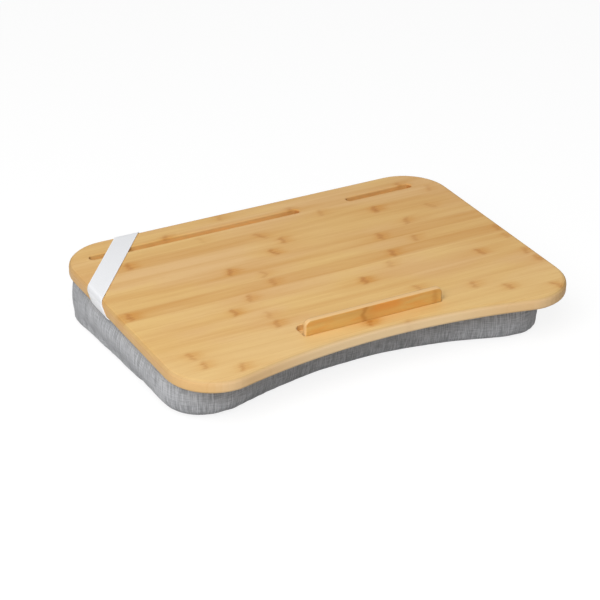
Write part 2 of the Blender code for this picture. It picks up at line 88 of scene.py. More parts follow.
def pick(piece):
    """Leave one piece selected and active."""
    bpy.ops.object.select_all(action="DESELECT")
    bpy.context.view_layer.objects.active = piece
    piece.select_set(True)


def apply_modifiers(piece):
    """Apply what is on the piece, in order."""
    pick(piece)
    for modifier in list(piece.modifiers):
        bpy.ops.object.modifier_apply(modifier=modifier.name)


def put(tree, kind, settings=None, inputs=None):
    """Put a node in a tree. An input is a value, or the output of another node."""
    made = tree.nodes.new("ShaderNode" + kind)
    for name, value in (settings or {}).items():
        setattr(made, name, value)
    for name, value in (inputs or {}).items():
        if isinstance(value, bpy.types.NodeSocket):
            tree.links.new(value, made.inputs[name])
        else:
            made.inputs[name].default_value = value
    return made


def calc(tree, operation, *values, clamp=False):
    """A Math node's output."""
    settings = {"operation": operation, "use_clamp": clamp}
    return put(tree, "Math", settings, dict(enumerate(values))).outputs[0]


def weighted_sum(tree, *pairs, start=0.0, clamp=False):
    """A start and values, each value times its weight, added up."""
    total = start
    for value, weight in pairs[:-1]:
        total = calc(tree, "MULTIPLY_ADD", value, weight, total)
    return calc(tree, "MULTIPLY_ADD", *pairs[-1], total, clamp=clamp)


def fade(tree, value, start, end, first=0.0, last=1.0):
    """Go smoothly from the first value to the last as an input goes from start to end."""
    places = dict(zip(range(5), (value, start, end, first, last)))
    return put(tree, "MapRange", {"interpolation_type": "SMOOTHSTEP"}, places).outputs[0]


def axes_of(tree, vector):
    """A vector's three parts."""
    return put(tree, "SeparateXYZ", None, {0: vector}).outputs


def blend_colour(tree, share, first, second, way="MIX"):
    """Mix two colours by a share. A colour is three numbers, or the output of a node."""
    settings = {"data_type": "RGBA", "blend_type": way, "clamp_factor": True}
    first, second = (value if isinstance(value, bpy.types.NodeSocket) else (*value, 1.0)
                     for value in (first, second))
    return put(tree, "Mix", settings, {0: share, 6: first, 7: second}).outputs[2]


def stretched_noise(tree, vector, scales, detail, roughness=0.55, shift=(0.0, 0.0, 0.0)):
    """Noise drawn out along the axes with the smaller scales."""
    mapped = put(tree, "Mapping", None, {"Vector": vector, "Scale": scales, "Location": shift})
    inputs = {"Vector": mapped.outputs[0], "Scale": 1.0, "Detail": detail, "Roughness": roughness}
    return put(tree, "TexNoise", None, inputs).outputs[0]


def new_group(name, inputs, outputs):
    """A shader node group with named sockets. It gives the tree, its inputs and its outputs."""
    group = bpy.data.node_groups.new(name, "ShaderNodeTree")
    for socket_name, kind in inputs:
        group.interface.new_socket(name=socket_name, in_out="INPUT", socket_type="NodeSocket" + kind)
    for socket_name, kind in outputs:
        group.interface.new_socket(name=socket_name, in_out="OUTPUT", socket_type="NodeSocket" + kind)
    return group, group.nodes.new("NodeGroupInput").outputs, group.nodes.new("NodeGroupOutput").inputs


def use_group(tree, group, inputs):
    """Put a group in a material and give its outputs."""
    return put(tree, "Group", {"node_tree": group}, inputs).outputs


def new_finish(name, **settings):
    """A material with a Principled shader whose plain settings are given by name."""
    material = bpy.data.materials.new(name)
    material.use_nodes = True
    shader = material.node_tree.nodes["Principled BSDF"]
    for key, value in settings.items():
        shader.inputs[key.replace("_", " ").title().replace("Ior", "IOR")].default_value = value
    return material, material.node_tree, shader


def feed(tree, shader, colour=None, roughness=None, height=None, depth=0.0002, strength=1.0):
    """Join the outputs of a pattern to a Principled shader."""
    if colour is not None:
        tree.links.new(colour, shader.inputs["Base Color"])
    if roughness is not None:
        tree.links.new(roughness, shader.inputs["Roughness"])
    if height is not None:
        inputs = {"Height": height, "Distance": depth, "Strength": strength}
        tree.links.new(put(tree, "Bump", None, inputs).outputs[0], shader.inputs["Normal"])


def wear(piece, material):
    """Give a CAD node or a new piece one material."""
    piece.data.materials.clear()
    piece.data.materials.append(material)


def cushion_outline(inset):
    """The cushion's plan shape in the row frame, drawn in by an inset, as points in order."""
    reach = CUSHION_HALF_WIDTH - CUSHION_FRONT_RADIUS
    back_reach = CUSHION_HALF_WIDTH - CUSHION_BACK_RADIUS
    sag, radius = CUSHION_FRONT_SAG, CUSHION_FRONT_RADIUS
    front_arc = (reach ** 2 + sag ** 2 - 2 * radius * sag) / (2 * sag)
    turn = math.atan2(reach, front_arc + radius - sag)
    quarter = math.pi / 2
    back = CUSHION_DEPTH - CUSHION_BACK_RADIUS
    front_sweep = np.linspace(quarter + turn, quarter - turn, 90)
    parts = [((0, sag - front_arc), front_arc + inset, front_sweep),
             ((reach, radius), radius - inset, np.linspace(-quarter - turn, 0, 30)),
             ((back_reach, back), CUSHION_BACK_RADIUS - inset, np.linspace(0, quarter, 24)),
             ((-back_reach, back), CUSHION_BACK_RADIUS - inset, np.linspace(quarter, 2 * quarter, 24)),
             ((-reach, radius), radius - inset, np.linspace(2 * quarter, 3 * quarter + turn, 30))]
    points = np.concatenate([np.array(middle) + size * np.stack((np.cos(sweep), np.sin(sweep)), 1)
                             for middle, size, sweep in parts])
    keep = np.linalg.norm(points - np.roll(points, 1, 0), axis=1) > 1e-7
    return points[keep] + (CUSHION_MIDDLE, CUSHION_FRONT)


def cushion_top(y):
    """Height of the cushion's flat top."""
    rise = math.tan(BOARD_SLOPE) * (y - BOARD_PLACE.y)
    return BOARD_PLACE.z + rise - (BOARD_THICKNESS + CUSHION_GAP) / math.cos(BOARD_SLOPE)


def spaced_outline(inset, spacing):
    """The outline as points at an even spacing, with the length round to each."""
    corners = cushion_outline(inset)
    closed = np.vstack((corners, corners[:1]))
    along = np.concatenate(([0.0], np.cumsum(np.linalg.norm(np.diff(closed, axis=0), axis=1))))
    places = np.arange(0, along[-1], spacing)
    points = np.stack([np.interp(places, along, closed[:, axis]) for axis in range(2)], 1)
    return points, places, along[-1]


def vertex_places(mesh):
    """The mesh's points as an array."""
    flat = np.zeros(len(mesh.vertices) * 3)
    mesh.vertices.foreach_get("co", flat)
    return flat.reshape(-1, 3)


def place_on_outline(points):
    """For each point, the length round the cushion, the distance in from its side and the way out."""
    line, along, _ = spaced_outline(0.0, OUTLINE_STEP)
    tree = kdtree.KDTree(len(line))
    for index, (x, y) in enumerate(line):
        tree.insert((x, y, 0), index)
    tree.balance()
    nearest = [tree.find((x, y, 0))[1] for x, y in points[:, :2]]
    forward = np.roll(line, -1, 0) - np.roll(line, 1, 0)
    outward = np.stack((forward[:, 1], -forward[:, 0]), 1) / np.linalg.norm(forward, axis=1, keepdims=True)
    outward = outward[nearest]
    return along[nearest], ((line[nearest] - points[:, :2]) * outward).sum(1), outward


def foot_slack(points):
    """How far the front-left foot is drawn in at each point."""
    sideways = points[:, 0] - np.clip(points[:, 0], *SLACK_FROM_TO)
    off_row = points[:, 1] - SLACK_ROW
    slack = FRONT_SLACK * np.exp(-(sideways ** 2 + off_row ** 2) / SLACK_REACH ** 2)
    for x, y, reach, depth in SLACK_SPOTS:
        slack += depth * np.exp(-((points[:, :2] - (x, y)) ** 2).sum(1) / reach ** 2)
    return slack


cushion = bpy.data.objects.new("cushion_cover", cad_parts["bead_filling"].data.copy())
bpy.context.scene.collection.objects.link(cushion)
pick(cushion)
bpy.ops.object.mode_set(mode="EDIT")
bpy.ops.mesh.select_all(action="SELECT")
bpy.ops.mesh.remove_doubles(threshold=0.00001)
bpy.ops.object.mode_set(mode="OBJECT")
cells = cushion.modifiers.new("cells", "REMESH")
cells.mode, cells.voxel_size = "VOXEL", BEAD_CELL
ease = cushion.modifiers.new("ease", "SMOOTH")
ease.factor, ease.iterations = 0.5, 6
start = cushion.modifiers.new("start", "DISPLACE")
start.strength, start.mid_level = COVER_START, 0.0
apply_modifiers(cushion)

skin = vertex_places(cushion.data)
_, inward, _ = place_on_outline(skin)
upper = skin[:, 2] > cushion_top(skin[:, 1]) / 2
seam_inset = np.where(upper, TOP_SEAM_INSET, FOOT_SEAM_INSET)
at_seam = np.clip(1 - np.abs(inward - seam_inset) / BEAD_CELL, 0, 1)
on_strips = upper & (inward > 2 * TOP_SEAM_INSET)
hold = np.where(on_strips, 1.0, SEAM_HOLD * at_seam)
held = cushion.vertex_groups.new(name="held")
for index in np.nonzero(hold > 0.01)[0]:
    held.add([int(index)], float(hold[index]), "REPLACE")
cloth = cushion.modifiers.new("cloth", "CLOTH")
cloth.settings.quality = 5
cloth.settings.mass = 0.3
cloth.settings.tension_stiffness = 15
cloth.settings.compression_stiffness = 15
cloth.settings.shear_stiffness = 5
cloth.settings.bending_stiffness = 0.5
cloth.settings.use_pressure = True
cloth.settings.uniform_pressure_force = 4.0
cloth.settings.vertex_group_mass = "held"
cloth.settings.effector_weights.gravity = 0.0
for number in range(1, CLOTH_FRAMES + 1):
    bpy.context.scene.frame_set(number)
swollen = cushion.evaluated_get(bpy.context.evaluated_depsgraph_get())
moved = vertex_places(swollen.data) - skin
cushion.modifiers.remove(cloth)
bpy.context.scene.frame_set(1)
distance = np.linalg.norm(moved, axis=1, keepdims=True)
skin += moved * np.minimum(1.0, COVER_CAP / np.maximum(distance, 1e-9))

# The beads fill the foot out to a crisp edge along the sides and the back, and less at the front left.
_, inward, outward = place_on_outline(skin)
from_front = skin[:, 1] - CUSHION_FRONT
toward_right, toward_back = outward.T
left_fill = np.clip((from_front - LEFT_FILL_FROM) / LEFT_FILL_FADE, 0, 1) * (toward_back >= -0.2)
right_fill = np.clip((toward_back + 1.0) / RIGHT_FILL_TURN, 0, 1)
side_fill = np.where(toward_right < 0, left_fill, right_fill)
fullness = 2 + (FOOT_FULLNESS - 2) * side_fill
beyond = np.clip(1 - inward / FOOT_SEAM_INSET, 0, 1.3)
below = np.clip(1 - skin[:, 2] / FOOT_SEAM_INSET, 0, 1)
round_size = np.maximum(np.hypot(beyond, below), 1e-6)
full_size = np.maximum((beyond ** fullness + below ** fullness) ** (1 / fullness), 1e-6)
fill_out = FOOT_SEAM_INSET * (round_size / full_size - 1)
left_bulge = np.exp(-((from_front - LEFT_BULGE_AT) / LEFT_BULGE_REACH) ** 2) * (toward_right < -0.3)
spread_from, spread_to = FRONT_SPREAD_FROM_TO
on_front = np.clip((skin[:, 0] - spread_from) / FRONT_SPREAD_FADE, 0, 1) * (toward_back < -0.4)
on_front *= np.clip((spread_to - skin[:, 0]) / FRONT_SPREAD_FADE, 0, 1)
spread = FOOT_SPREAD * side_fill + LEFT_BULGE * left_bulge + FRONT_SPREAD * on_front
shift = beyond * fill_out + below * (spread - foot_slack(skin))
skin[:, :2] += outward * shift[:, None]
skin[:, 2] -= below * fill_out
broad, fine = DENTS_PER_METRE
dents = [noise.noise(Vector(point) * broad) + noise.noise(Vector(point) * fine) / 2 for point in skin]
normals = np.zeros(len(skin) * 3)
cushion.data.vertices.foreach_get("normal", normals)
skin += normals.reshape(-1, 3) * BAND_DENT * np.array(dents)[:, None]
skin[:, 2] = np.clip(skin[:, 2], 0.0, cushion_top(skin[:, 1]))
cushion.data.vertices.foreach_set("co", skin.ravel())
cushion.data.update()
finer = cushion.modifiers.new("finer", "SUBSURF")
finer.levels = finer.render_levels = 1
apply_modifiers(cushion)
bpy.ops.object.shade_smooth()

# The cover's cloth is laid out panel by panel: along and up the band, and straight across the panels.
places = vertex_places(cushion.data)
round_length, inward, _ = place_on_outline(places)
_, _, girth = spaced_outline(0.0, OUTLINE_STEP)
weave_map = cushion.data.uv_layers.new(name="weave")
corner_count = len(cushion.data.loops)
corner_vertex = np.zeros(corner_count, int)
cushion.data.loops.foreach_get("vertex_index", corner_vertex)
face_starts = np.zeros(len(cushion.data.polygons), int)
face_sizes = np.zeros(len(cushion.data.polygons), int)
cushion.data.polygons.foreach_get("loop_start", face_starts)
cushion.data.polygons.foreach_get("loop_total", face_sizes)
corner_face = np.repeat(np.arange(len(face_starts)), face_sizes)


def face_mean(values):
    """The mean of a vertex value over each face, given back at each face corner."""
    return (np.add.reduceat(values[corner_vertex], face_starts) / face_sizes)[corner_face]


corner_round = round_length[corner_vertex]
across_start = np.abs(corner_round - face_mean(round_length)) > girth / 4
corner_round = np.where(across_start & (corner_round < girth / 2), corner_round + girth, corner_round)
face_upper = face_mean(places[:, 2]) > cushion_top(face_mean(places[:, 1])) / 2
face_inset = face_mean(inward)
on_panel = face_inset > np.where(face_upper, TOP_SEAM_INSET, FOOT_SEAM_INSET)
inset_here = inward[corner_vertex]
band_height = places[corner_vertex, 2] + np.where(face_upper, inset_here, -inset_here)
across = np.where(on_panel, places[corner_vertex, 0], corner_round)
upward = np.where(on_panel, places[corner_vertex, 1], band_height)
weave_map.data.foreach_set("uv", np.stack((across, upward), 1).ravel())

THREAD_PITCH = 0.0012
CLOTH_DARK = srgb(144, 145, 148)
CLOTH_LIGHT = srgb(206, 207, 210)
melange, entry, leave = new_group("melange_weave", [("Cloth", "Vector")],
                                  [("Shade", "Float"), ("Height", "Float")])
slubs_up = stretched_noise(melange, entry["Cloth"], (620.0, 42.0, 1.0), 4.0, 0.6)
slubs_along = stretched_noise(melange, entry["Cloth"], (60.0, 1000.0, 1.0), 3.0, shift=(3.0, 7.0, 0.0))
slubs = weighted_sum(melange, (slubs_up, 0.62), (slubs_along, 0.38))
cloudy = stretched_noise(melange, entry["Cloth"], (28.0, 28.0, 1.0), 2.0)
mottled = weighted_sum(melange, (slubs, 0.86), (cloudy, 0.14))
melange.links.new(fade(melange, mottled, 0.38, 0.61), leave["Shade"])
threads = axes_of(melange, entry["Cloth"])
waves = [weighted_sum(melange, (threads[axis], 2 * math.pi / THREAD_PITCH), (slubs, 2.2)) for axis in (0, 1)]
warp, weft = (calc(melange, "SINE", wave) for wave in waves)
melange.links.new(weighted_sum(melange, (warp, weft), (slubs, 2.0)), leave["Height"])

grey_cloth, tree, shader = new_finish("grey_melange", roughness=0.9, sheen_weight=0.15, sheen_roughness=0.5)
weave = use_group(tree, melange, {"Cloth": put(tree, "UVMap", {"uv_map": "weave"}).outputs[0]})
cloth_colour = blend_colour(tree, weave["Shade"], CLOTH_DARK, CLOTH_LIGHT)
feed(tree, shader, cloth_colour, height=weave["Height"], depth=0.00018, strength=0.6)
wear(cushion, grey_cloth)
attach(cushion, "cushion")
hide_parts("cover_side_band", "cover_top_panel", "cover_bottom_panel",
            "liner_lower", "liner_upper", "bead_filling")

# The seams of the cover: a thin cord of turned-in cloth where the band meets each panel, and one row
# of grey thread stitches beside it.
SEAM_CORD_RADIUS = 0.0006
SEAM_SPACING = 0.004             # between the points that a seam is laid out by
STITCH_INSET = 0.0021            # from a seam to its row of stitches
STITCH_PITCH = 0.0036
STITCH_LENGTH = 0.0026
STITCH_RADIUS = 0.00028
RAY_START = 0.2                  # well clear of the cushion


def guide_curve(points):
    """A closed curve through points, for a piece to follow. It is removed after use."""
    curve = bpy.data.curves.new("guide", "CURVE")
    curve.dimensions, curve.twist_mode = "3D", "Z_UP"
    line = curve.splines.new("POLY")
    line.points.add(len(points) - 1)
    line.points.foreach_set("co", np.hstack((points, np.ones((len(points), 1)))).ravel())
    line.use_cyclic_u = True
    guide = bpy.data.objects.new("guide", curve)
    bpy.context.scene.collection.objects.link(guide)
    return guide


def cord_along(name, points, radius):
    """A thin cord that follows points and closes on itself."""
    guide = guide_curve(points)
    guide.data.bevel_depth, guide.data.bevel_resolution = radius, 2
    pick(guide)
    bpy.ops.object.convert(target="MESH")
    guide.name = guide.data.name = name
    bpy.ops.object.shade_smooth()
    return guide


def stitches_along(name, points):
    """A closed row of stitches that follows points."""
    closed = np.vstack((points, points[:1]))
    length = np.linalg.norm(np.diff(closed, axis=0), axis=1).sum()
    count = round(length / STITCH_PITCH)
    bpy.ops.object.select_all(action="DESELECT")
    bpy.ops.mesh.primitive_uv_sphere_add(segments=6, ring_count=5, radius=1.0)
    row = bpy.context.active_object
    row.name = row.data.name = name
    bpy.ops.transform.rotate(value=math.pi / 2, orient_axis="Y", center_override=(0, 0, 0))
    bpy.ops.transform.resize(value=(STITCH_LENGTH / 2, STITCH_RADIUS, STITCH_RADIUS),
                             center_override=(0, 0, 0))
    bpy.ops.object.transform_apply(location=True, rotation=True, scale=True)
    copies = row.modifiers.new("copies", "ARRAY")
    copies.use_relative_offset, copies.use_constant_offset = False, True
    copies.constant_offset_displace = (length / count, 0, 0)
    copies.count = count
    guide = guide_curve(points)
    follow = row.modifiers.new("follow", "CURVE")
    follow.object = guide
    apply_modifiers(row)
    bpy.ops.object.shade_smooth()
    bpy.data.objects.remove(guide)
    return row


def seam_path(inset, lift, upper):
    """Points of a seam, laid on the cloth of the cushion's top or underside."""
    line, _, _ = spaced_outline(inset, SEAM_SPACING)
    if not upper:
        line = line - place_on_outline(line)[2] * foot_slack(line)[:, None]
    side = 1 if upper else -1
    heights = np.array([cushion.ray_cast((x, y, side * RAY_START), (0, 0, -side))[1].z for x, y in line])
    heights = np.mean([np.roll(heights, turn) for turn in (-2, -1, 0, 1, 2)], axis=0) + side * lift
    if not upper:
        heights = np.maximum(heights, -lift)
    return np.column_stack((line, heights))


thread_twist, entry, leave = new_group("thread_twist", [("Place", "Vector")],
                                       [("Shade", "Float"), ("Height", "Float")])
twist = stretched_noise(thread_twist, entry["Place"], (2600.0, 2600.0, 2600.0), 2.0)
thread_twist.links.new(fade(thread_twist, twist, 0.3, 0.7), leave["Shade"])
thread_twist.links.new(twist, leave["Height"])


def piece_place(tree):
    """Where a point of a piece is, in metres."""
    return put(tree, "TexCoord").outputs["Object"]


def thread_finish(name, dark, light):
    """Sewing thread: fine twist, in two shades."""
    material, tree, shader = new_finish(name, roughness=0.75)
    fibres = use_group(tree, thread_twist, {"Place": piece_place(tree)})
    thread_colour = blend_colour(tree, fibres["Shade"], dark, light)
    feed(tree, shader, thread_colour, height=fibres["Height"], depth=0.0001)
    return material


seam_finish = thread_finish("seam_cord", srgb(112, 112, 116), srgb(150, 150, 154))
grey_thread = thread_finish("grey_thread", srgb(120, 120, 124), srgb(176, 176, 180))
for level, inset, upper in (("lower", FOOT_SEAM_INSET, False), ("upper", TOP_SEAM_INSET, True)):
    seam = seam_path(inset, -SEAM_CORD_RADIUS / 2, upper)
    cord = cord_along(f"cover_seam_{level}", seam, SEAM_CORD_RADIUS)
    wear(cord, seam_finish)
    row = stitches_along(f"cover_stitches_{level}", seam_path(inset + STITCH_INSET, 0.0, upper))
    wear(row, grey_thread)
    for piece in (cord, row):
        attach(piece, "cushion")

# The loop strips: four black strips of soft loops, sewn flat on the cushion's top panel with one row
# of black stitches round the border of each.
STRIP_LENGTH = 0.100
STRIP_WIDTH = 0.025
STRIP_SPREAD = 0.133             # cushion's middle to a strip's middle
STRIP_ROWS = (0.115, 0.285)      # board's front to the strips' middles
STRIP_BORDER = 0.0022            # edge of a strip to its stitches
LOOP_TOP = -BOARD_THICKNESS - 0.0017     # below the board's top face


def on_board(points):
    """Points on the board's own axes, in the row frame."""
    turn = Matrix.Rotation(BOARD_SLOPE, 3, "X")
    return np.array(points) @ np.array(turn).T + np.array(BOARD_PLACE)


napped, entry, leave = new_group("napped_strip", [("Place", "Vector")],
                                 [("Shade", "Float"), ("Height", "Float")])
curls = put(napped, "TexVoronoi", None, {"Vector": entry["Place"], "Scale": 1500.0}).outputs["Distance"]
matting = stretched_noise(napped, entry["Place"], (160.0, 420.0, 160.0), 3.0)
napped.links.new(weighted_sum(napped, (curls, 0.5), (matting, 0.6)), leave["Shade"])
napped.links.new(calc(napped, "ADD", curls, matting), leave["Height"])


def strip_finish(name, dark, light, depth, strength, **settings):
    """The napped side of a strip, stiff or soft."""
    material, tree, shader = new_finish(name, **settings)
    nap = use_group(tree, napped, {"Place": piece_place(tree)})
    nap_colour = blend_colour(tree, nap["Shade"], dark, light)
    feed(tree, shader, nap_colour, height=nap["Height"], depth=depth, strength=strength)
    return material


loop_finish = strip_finish("loop_pile", srgb(24, 24, 26), srgb(66, 66, 70), 0.0003, 0.8,
                           roughness=0.95, sheen_weight=0.3, sheen_roughness=0.6)
for number in range(1, 5):
    wear(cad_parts[f"loop_tape_{number}"], loop_finish)

rows = []
half_length, half_width = STRIP_LENGTH / 2 - STRIP_BORDER, STRIP_WIDTH / 2 - STRIP_BORDER
for strip_y in STRIP_ROWS:
    for side in (-1, 1):
        middle_x = CUSHION_MIDDLE - BOARD_PLACE.x + side * STRIP_SPREAD
        corners = [(middle_x + x, strip_y + y, LOOP_TOP) for x, y in
                   ((-half_length, -half_width), (half_length, -half_width),
                    (half_length, half_width), (-half_length, half_width))]
        rows.append(stitches_along("loop_tape_stitches", on_board(corners)))
bpy.ops.object.select_all(action="DESELECT")
for row in rows:
    row.select_set(True)
bpy.context.view_layer.objects.active = rows[0]
bpy.ops.object.join()
strip_stitches = rows[0]
wear(strip_stitches, thread_finish("black_thread", srgb(20, 20, 22), srgb(70, 70, 74)))
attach(strip_stitches, "cushion")

# The board: strips of bamboo 22 mm wide, glued edge to edge and sanded, with two slots milled near the
# back, a recess for the stop bar and a clear satin lacquer. The strips' nodes show as brown marks.
GLUE_LINE_FIRST = 0.0089         # from the board's foremost line
STRIP_PITCH = 0.02197
NODE_CORE = 0.0058               # half width of a node's dark line
NODE_HALO = 0.018                # of the brown patch round it
NODE_STAIN = 0.055               # and of the faint stain along the grain
BAMBOO_LIGHT = srgb(220, 182, 116)
BAMBOO_DARK = srgb(202, 152, 84)
BAMBOO_ROSY = srgb(218, 178, 122)
BAMBOO_PALE = srgb(226, 195, 143)
BAMBOO_HALO = srgb(199, 141, 64)
BAMBOO_CORE = srgb(173, 109, 42)
# the long edges' pale colours are partly the strips' side faces and partly painted sheen
BAMBOO_LONG_EDGE_AND_SHEEN = srgb(248, 218, 174)
BAMBOO_FORE_EDGE_AND_SHEEN = srgb(236, 199, 152)
BAMBOO_END_GRAIN = srgb(223, 179, 121)
BAMBOO_POCKET = srgb(222, 173, 105)
BAMBOO_POCKET_SHADE = srgb(208, 157, 92)
# painted shade for the slots' end walls
BAMBOO_SLOT_END_SHADE = srgb(176, 120, 62)
# painted shade for the top's rounded edges, which tones down the light they catch
BAMBOO_RIM_SHADE = (0.82, 0.82, 0.84)
LACQUER_ROUGHNESS = 0.46
NODE_BEND = 0.014                # how far noise shifts a node's marks along the grain
# Zones of the board, each as the two places between which it fades in or out.
RIGHT_END_ACROSS = (0.12, 0.22)  # a darker stretch
RIGHT_END_FROM = (0.09, 0.15)
RIGHT_END_TO = (0.26, 0.32)
ROSY_FROM = (0.04, 0.09)
PALE_TO = (0.045, 0.095)
PALE_ACROSS = (-0.04, 0.10)
GLUE_LINE_WIDTHS = (0.004, 0.022)    # as a share of a strip
EDGE_BELOW = (-0.0036, -0.0004)
FORE_EDGE_TO = (0.006, 0.024)
POCKETS_SIDE = (0.230, 0.232)    # the slots and the recess all lie within these four
POCKETS_BACK = (0.332, 0.334)
POCKETS_FRONT = (0.036, 0.040)
POCKETS_FLOOR = (-0.0140, -0.0130)
POCKET_BELOW = (-0.0028, -0.0008)
SLOTS_FROM = (0.15, 0.20)
# Darkness of each strip, from the front one to the back one.
STRIP_SHADES = (0.10, 0.12, 0.10, 0.14, 0.16, 0.34, 0.20, 0.14, 0.62, 0.26, 0.42, 0.22, 0.28, 0.42, 0.20,
                0.22, 0.24)
# The nodes: millimetres from the middle of the board, strip, strength and lean.
BAMBOO_NODES = (
    (-181, 0, 0.6, 0.3), (30, 0, 0.4, 0.1), (227, 0, 0.6, -0.4),
    (-216, 1, 0.55, 0.3), (-11, 1, 1.0, 0.1), (175, 1, 0.6, -0.2),
    (-221, 2, 0.55, -0.2), (142, 2, 0.5, 0.1), (-103, 3, 0.7, 0.2), (80, 3, 0.45, -0.1), (246, 3, 0.6, 0.0),
    (-101, 4, 0.35, 0.0), (243, 4, 0.55, 0.2), (-134, 5, 0.8, 0.2), (34, 5, 1.0, 0.1), (193, 5, 0.75, -0.2),
    (-102, 6, 0.6, 0.2), (83, 6, 0.35, 0.4), (245, 6, 0.4, 0.0),
    (-242, 7, 1.0, 0.1), (-61, 7, 0.6, 0.2), (99, 7, 0.95, 0.1), (247, 7, 0.6, 0.0),
    (-61, 8, 0.4, 0.1), (143, 8, 0.5, 0.3), (-94, 9, 0.9, 0.2), (108, 9, 0.8, 0.1),
    (-25, 10, 0.85, -0.1), (158, 10, 0.6, 0.5), (-1, 11, 0.7, 0.2), (207, 11, 0.35, -0.3),
    (-193, 12, 0.85, 0.3), (-20, 12, 0.55, -0.3), (140, 12, 1.0, 0.1),
    (-88, 13, 0.2, 0.0), (75, 13, 0.35, 0.3), (231, 13, 0.35, 0.3),
    (-123, 14, 0.8, 0.2), (44, 14, 0.6, 0.0), (202, 14, 0.7, 0.1), (-41, 15, 0.35, 0.2))

turn_back = Matrix.Rotation(-BOARD_SLOPE, 3, "X")
BOARD_AXES = {"Rotation": (-BOARD_SLOPE, 0.0, 0.0), "Location": -(turn_back @ BOARD_PLACE)}


def times(tree, *values):
    """The product of values."""
    product = values[0]
    for value in values[1:]:
        product = calc(tree, "MULTIPLY", product, value)
    return product


def less(tree, value, amount):
    """A value less an amount."""
    return calc(tree, "SUBTRACT", value, amount)


def apart(tree, value, place):
    """How far a value is from a place, on either side of it."""
    return calc(tree, "ABSOLUTE", less(tree, value, place))


def facing_parts(tree):
    """The three parts of the way that the surface faces."""
    return axes_of(tree, put(tree, "TexCoord").outputs["Normal"])


def place_on_board(tree):
    """Where a point is on the board's own axes."""
    return put(tree, "Mapping", None, {"Vector": piece_place(tree), **BOARD_AXES}).outputs[0]


def bent_places(tree, place, scales, reach):
    """Places shifted to and fro along the grain by noise, so that marks laid out on them bend."""
    bend = less(tree, stretched_noise(tree, place, scales, 2.0), 0.5)
    shift = put(tree, "CombineXYZ", None, {0: times(tree, bend, reach)}).outputs[0]
    return put(tree, "VectorMath", {"operation": "ADD"}, {0: place, 1: shift}).outputs[0]


bamboo_grain, entry, leave = new_group("bamboo_grain", [("Place", "Vector")],
                                       [("Streaks", "Float"), ("Fibres", "Float"), ("Flecks", "Float")])
streaks = stretched_noise(bamboo_grain, entry["Place"], (3.5, 75.0, 75.0), 5.0, 0.6)
fibres = stretched_noise(bamboo_grain, entry["Place"], (30.0, 1700.0, 1700.0), 3.0)
dashes = stretched_noise(bamboo_grain, entry["Place"], (85.0, 2400.0, 2400.0), 1.0, shift=(5.0, 2.0, 9.0))
bamboo_grain.links.new(streaks, leave["Streaks"])
bamboo_grain.links.new(fibres, leave["Fibres"])
bamboo_grain.links.new(fade(bamboo_grain, dashes, 0.60, 0.72), leave["Flecks"])

bamboo_node, entry, leave = new_group(
    "bamboo_node", [("Place", "Vector"), ("Across", "Float"), ("Back", "Float"), ("Strength", "Float"),
                    ("Lean", "Float")], [("Core", "Float"), ("Halo", "Float")])
node_x, node_y, _ = axes_of(bamboo_node, entry["Place"])
from_middle = less(bamboo_node, node_y, entry["Back"])
line_here = weighted_sum(bamboo_node, (from_middle, entry["Lean"]), start=entry["Across"])
from_node = less(bamboo_node, node_x, line_here)
off_strip = calc(bamboo_node, "ABSOLUTE", from_middle)
in_strip = fade(bamboo_node, off_strip, 0.2 * STRIP_PITCH, 0.55 * STRIP_PITCH, 1.0, 0.0)
strength_here = times(bamboo_node, in_strip, entry["Strength"])
core = fade(bamboo_node, calc(bamboo_node, "ABSOLUTE", from_node), 0.0, NODE_CORE, 1.0, 0.0)
off_halo = apart(bamboo_node, from_node, 0.2 * NODE_HALO)
halo = fade(bamboo_node, off_halo, 0.0, NODE_HALO, 0.8, 0.0)
stain = fade(bamboo_node, off_halo, 0.0, NODE_STAIN, 0.36, 0.0)
bamboo_node.links.new(times(bamboo_node, core, strength_here), leave["Core"])
bamboo_node.links.new(times(bamboo_node, calc(bamboo_node, "ADD", halo, stain), strength_here), leave["Halo"])

board_finish, tree, shader = new_finish("bamboo_board", specular_ior_level=0.35)
board_place = place_on_board(tree)
board_x, board_y, board_z = axes_of(tree, board_place)
grain = use_group(tree, bamboo_grain, {"Place": board_place})

# Each strip has its own shade, which drifts along it, with streaks, fibres and flecks in the grain.
pitches = calc(tree, "DIVIDE", less(tree, board_y, GLUE_LINE_FIRST), STRIP_PITCH)
strip_number = calc(tree, "FLOOR", pitches)
ramp_place = calc(tree, "DIVIDE", calc(tree, "ADD", strip_number, 1.5), len(STRIP_SHADES))
shade_ramp = put(tree, "ValToRGB", None, {0: ramp_place})
shade_ramp.color_ramp.interpolation = "CONSTANT"
stops = shade_ramp.color_ramp.elements
for index, shade in enumerate(STRIP_SHADES):
    stop = stops[index] if index < 2 else stops.new(index / len(STRIP_SHADES))
    stop.position, stop.color = index / len(STRIP_SHADES), (shade, shade, shade, 1.0)
drift_place = {0: times(tree, board_x, 4.0), 1: times(tree, strip_number, 9.17)}
per_strip = put(tree, "CombineXYZ", None, drift_place).outputs[0]
drift = put(tree, "TexNoise", None, {"Vector": per_strip, "Scale": 1.0, "Detail": 2.0}).outputs[0]
right_end = times(tree, fade(tree, board_x, *RIGHT_END_ACROSS), fade(tree, board_y, *RIGHT_END_FROM),
                  fade(tree, board_y, *RIGHT_END_TO, 1.0, 0.0))
shade = weighted_sum(tree, (less(tree, drift, 0.5), 0.7), (less(tree, grain["Streaks"], 0.48), 1.9),
                     (right_end, 0.22), (less(tree, grain["Fibres"], 0.5), 0.5),
                     start=shade_ramp.outputs[0], clamp=True)
rosy_noise = stretched_noise(tree, board_place, (6.0, 14.0, 14.0), 2.0, shift=(4.0, 1.0, 0.0))
rosy = times(tree, fade(tree, rosy_noise, 0.4, 0.65), fade(tree, board_y, *ROSY_FROM, 0.2, 1.0))
wood = blend_colour(tree, shade, blend_colour(tree, rosy, BAMBOO_LIGHT, BAMBOO_ROSY), BAMBOO_DARK)
